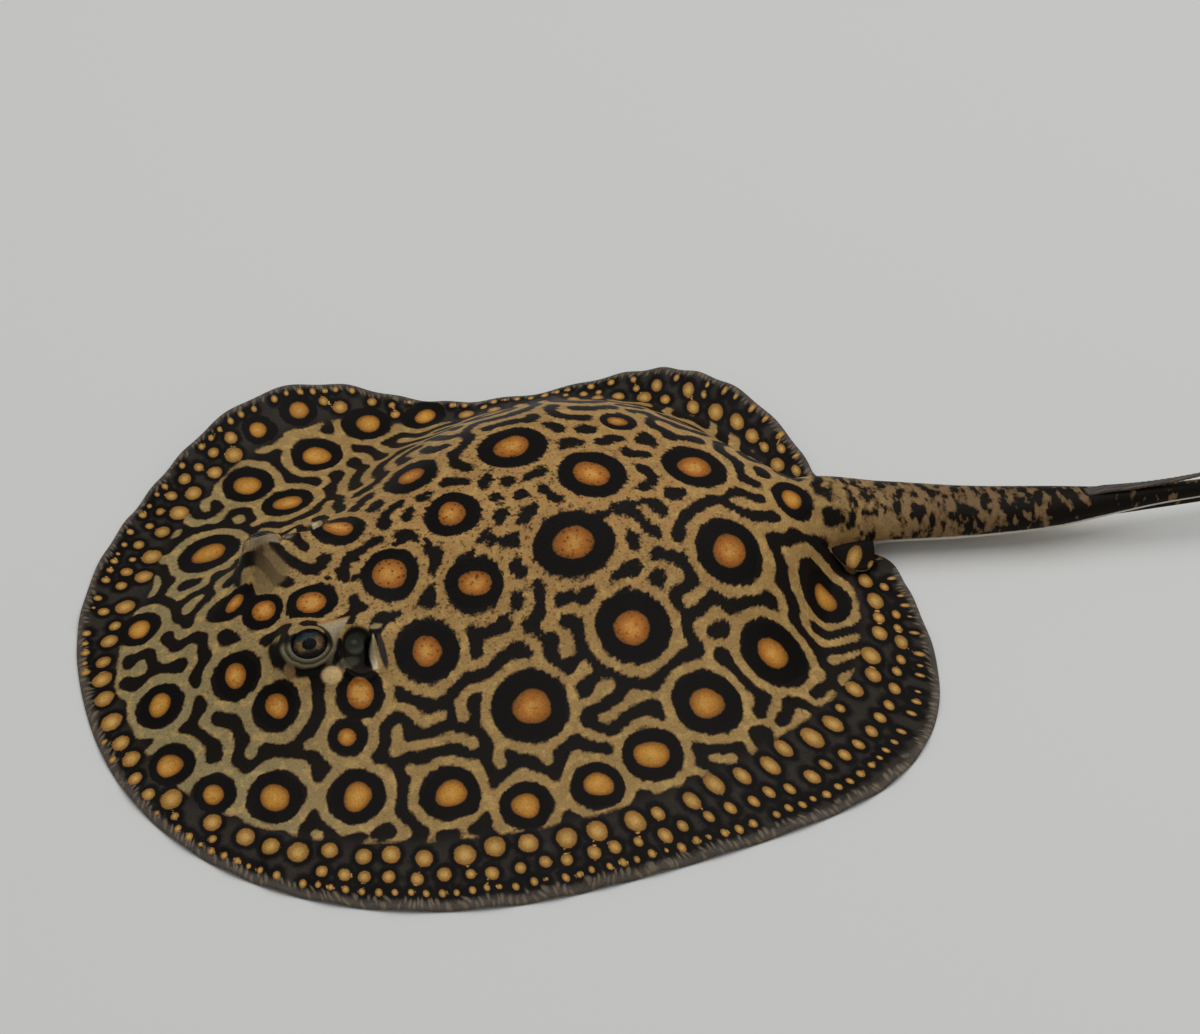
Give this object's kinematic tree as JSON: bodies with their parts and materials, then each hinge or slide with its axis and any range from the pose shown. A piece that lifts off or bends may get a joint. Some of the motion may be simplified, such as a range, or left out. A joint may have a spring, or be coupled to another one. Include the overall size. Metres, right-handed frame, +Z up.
{
  "type": "freshwater stingray",
  "caption": "Freshwater stingray lying flat with its round disc spread, raised eyes and a long tapering tail with a sting; a still, life-size animal model.",
  "frame": {"origin": "on the floor under the middle of the disc, on the body's midline", "axes": "+X towards the tail tip (the snout points along -X), +Y towards the ray's right side, +Z up, square to the floor it lies on"},
  "size_m": [0.4082, 0.2075, 0.035],
  "materials": {
    "skin": "smooth wet skin, tan with black-ringed orange spots, black rear tail, cream belly",
    "eye": "clear wet cornea over a bronze iris and black pupil",
    "sting": "dark, slightly glossy dentine under thin skin"
  },
  "bodies": {
    "root": {"head": "skin", "trunk": "skin", "pectoral_fin_left": "skin", "pectoral_fin_right": "skin", "pelvic_fin_left": "skin", "pelvic_fin_right": "skin", "eye_left": "eye", "eye_right": "eye", "tail_base": "skin", "tail_middle": "skin", "tail_tip": "skin", "tail_fold_upper": "skin", "tail_fold_lower": "skin", "tail_sting": "sting"}
  },
  "joints": []
}
